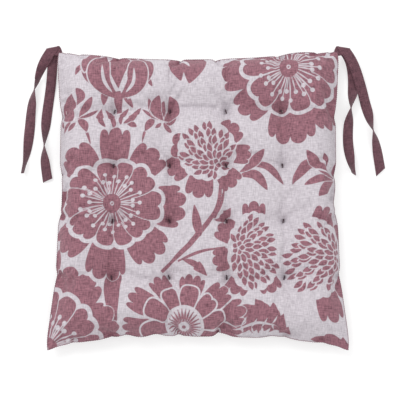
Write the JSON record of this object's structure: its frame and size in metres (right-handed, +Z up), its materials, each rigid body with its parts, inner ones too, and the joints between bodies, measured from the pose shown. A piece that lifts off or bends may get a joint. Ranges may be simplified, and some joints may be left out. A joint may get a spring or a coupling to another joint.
{
  "type": "chair seat pad",
  "caption": "Square tufted seat pad with a flower-printed top, plain back, stitched dimples and ribbon ties at the two rear corners for fixing to chair posts.",
  "frame": {"origin": "middle of the underside, on the plane of the seat that the pad rests on", "axes": "+Z up out of the printed top, -Y towards the front edge, +Y towards the edge with the ties, +X to the right seen from the front"},
  "size_m": [0.5048, 0.419, 0.042],
  "materials": {
    "printed_cloth": "woven linen-cotton, pale ground with a mauve flower print, matt",
    "plain_cloth": "plain woven cotton, dark mauve, matt",
    "polyester_fibre": "bonded hollow-fibre wadding, white, matt",
    "seam_thread": "spun polyester sewing thread, mauve",
    "tufting_twine": "doubled tufting twine, dark mauve",
    "tie_ribbon": "folded and stitched plain woven cotton strip, dark mauve, matt"
  },
  "bodies": {
    "pad": {"top_cover": "printed_cloth", "base_cover": "plain_cloth", "filling": "polyester_fibre", "edge_seam": "seam_thread", "closing_stitch": "seam_thread", "tuft_stitch_1_1": "tufting_twine", "tuft_stitch_1_2": "tufting_twine", "tuft_stitch_1_3": "tufting_twine", "tuft_stitch_1_4": "tufting_twine", "tuft_stitch_2_1": "tufting_twine", "tuft_stitch_2_2": "tufting_twine", "tuft_stitch_2_3": "tufting_twine", "tuft_stitch_2_4": "tufting_twine", "tuft_stitch_3_1": "tufting_twine", "tuft_stitch_3_2": "tufting_twine", "tuft_stitch_3_3": "tufting_twine", "tuft_stitch_3_4": "tufting_twine", "tuft_stitch_4_1": "tufting_twine", "tuft_stitch_4_2": "tufting_twine", "tuft_stitch_4_3": "tufting_twine", "tuft_stitch_4_4": "tufting_twine", "tie_left_root": "tie_ribbon", "tie_right_root": "tie_ribbon"},
    "tie_left_inner": {"tie_left_inner": "tie_ribbon"},
    "tie_left_outer": {"tie_left_outer": "tie_ribbon"},
    "tie_right_inner": {"tie_right_inner": "tie_ribbon"},
    "tie_right_outer": {"tie_right_outer": "tie_ribbon"}
  },
  "joints": [
    {"name": "tie_left_inner_swing", "type": "hinge", "parent": "pad", "child": "tie_left_inner", "pos_m": [-0.202, 0.209, 0.016], "axis": [0, 0, -1], "range_deg": [0, 150]},
    {"name": "tie_left_outer_swing", "type": "hinge", "parent": "pad", "child": "tie_left_outer", "pos_m": [-0.202, 0.209, 0.016], "axis": [0, 0, -1], "range_deg": [0, 150]},
    {"name": "tie_right_inner_swing", "type": "hinge", "parent": "pad", "child": "tie_right_inner", "pos_m": [0.202, 0.209, 0.016], "axis": [0, 0, 1], "range_deg": [0, 150]},
    {"name": "tie_right_outer_swing", "type": "hinge", "parent": "pad", "child": "tie_right_outer", "pos_m": [0.202, 0.209, 0.016], "axis": [0, 0, 1], "range_deg": [0, 150]}
  ]
}
